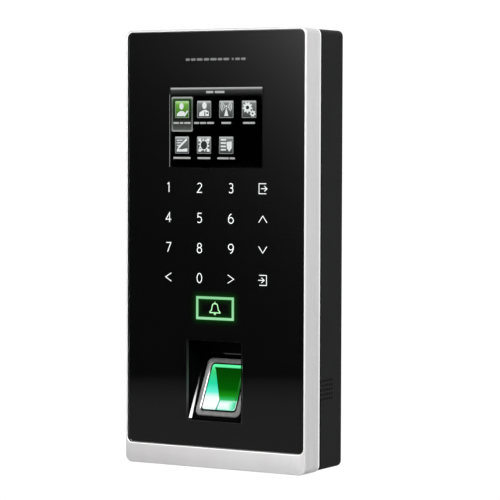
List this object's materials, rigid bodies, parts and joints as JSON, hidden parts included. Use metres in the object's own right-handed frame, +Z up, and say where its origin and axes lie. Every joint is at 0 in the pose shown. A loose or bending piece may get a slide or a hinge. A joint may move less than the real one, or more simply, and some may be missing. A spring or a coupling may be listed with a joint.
{
  "type": "fingerprint scanner terminal",
  "caption": "Wall-mounted access terminal with a glass front, colour display, touch keys, lit bell key and a sloping optical finger sensor in a recess; it tilts off a hooked wall plate.",
  "frame": {"origin": "centre of the four wall screw holes, on the wall plane", "axes": "+Z up, +Y into the wall, so the face of the terminal looks along -Y; +X to the right seen from the front"},
  "size_m": [0.0956, 0.037, 0.2002],
  "materials": {
    "bezel_metal": "satin silver paint with fine grain",
    "housing_plastic": "dark charcoal, finely textured",
    "cover_glass": "polished, clear, printed behind",
    "black_film": "black ink printed on film",
    "tape": "foam tape",
    "gasket_rubber": "soft black rubber",
    "recess_plastic": "moulded gloss black",
    "ring_metal": "fine blasted aluminium",
    "prism_glass": "polished optical glass, lit green",
    "black_plastic": "plain black",
    "display_glass": "display cell",
    "backlight_plastic": "white reflector sheet",
    "tin_plate": "bright tin plate",
    "plate_steel": "galvanised",
    "screw_steel": "blackened",
    "light_guide": "clear acrylic",
    "bell_guide": "green-lit acrylic",
    "pcb_green": "solder mask over glass laminate",
    "flex_film": "polyimide film",
    "ribbon_white": "flat cable",
    "led_white": "moulded LED",
    "led_green": "moulded LED",
    "chip_epoxy": "moulded epoxy",
    "relay_blue": "relay case",
    "block_green": "terminal block",
    "socket_ivory": "connector housing",
    "wire_red": "insulated wire"
  },
  "bodies": {
    "wall_plate": {"wall_plate": "plate_steel", "lock_screw": "screw_steel"},
    "terminal": {"front_bezel": "bezel_metal", "rear_housing": "housing_plastic", "case_gasket": "gasket_rubber", "case_screws": "screw_steel", "cover_glass": "cover_glass", "legend_film": "black_film", "glass_tape": "tape", "lcd_panel": "display_glass", "lcd_frame": "tin_plate", "lcd_backlight": "backlight_plastic", "lcd_flex": "flex_film", "key_light_guide": "light_guide", "key_leds": "led_white", "bell_light_guide": "bell_guide", "touch_pcb": "pcb_green", "touch_cable": "ribbon_white", "rfid_antenna": "pcb_green", "sensor_recess": "recess_plastic", "sensor_ring": "ring_metal", "sensor_prism": "prism_glass", "sensor_housing": "black_plastic", "sensor_lens": "black_plastic", "sensor_pcb": "pcb_green", "sensor_leds": "led_green", "sensor_cable": "ribbon_white", "sensor_screws": "screw_steel", "main_pcb": "pcb_green", "pcb_screws": "tin_plate", "processor_shield": "tin_plate", "memory_chips": "chip_epoxy", "relay": "relay_blue", "power_parts": "chip_epoxy", "buzzer": "black_plastic", "battery_holder": "black_plastic", "backup_battery": "tin_plate", "board_sockets": "socket_ivory", "terminal_blocks": "block_green", "terminal_screws": "tin_plate", "ethernet_jack": "tin_plate", "reset_switch": "tin_plate", "tamper_switch": "black_plastic", "speaker": "black_plastic", "speaker_gasket": "gasket_rubber", "speaker_wires": "wire_red"},
    "tamper_plunger": {"tamper_plunger": "socket_ivory"},
    "reset_button": {"reset_button": "black_plastic"}
  },
  "joints": [
    {"name": "unhook_tilt", "type": "hinge", "parent": "wall_plate", "child": "terminal", "pos_m": [0, -0.0034, 0.0902], "axis": [-1, 0, 0], "range_deg": [0, 12]},
    {"name": "tamper_plunger_slide", "type": "slide", "parent": "terminal", "child": "tamper_plunger", "axis": [0, 1, 0], "range_m": [0, 0.0015]},
    {"name": "reset_button_press", "type": "slide", "parent": "terminal", "child": "reset_button", "axis": [0, -1, 0], "range_m": [0, 0.0006], "stiffness_N_per_m": 600, "springref_m": -0.0005}
  ],
  "couplings": [
    {"joint": "tamper_plunger_slide", "follows": "unhook_tilt", "m_per_rad": 0.00716}
  ]
}
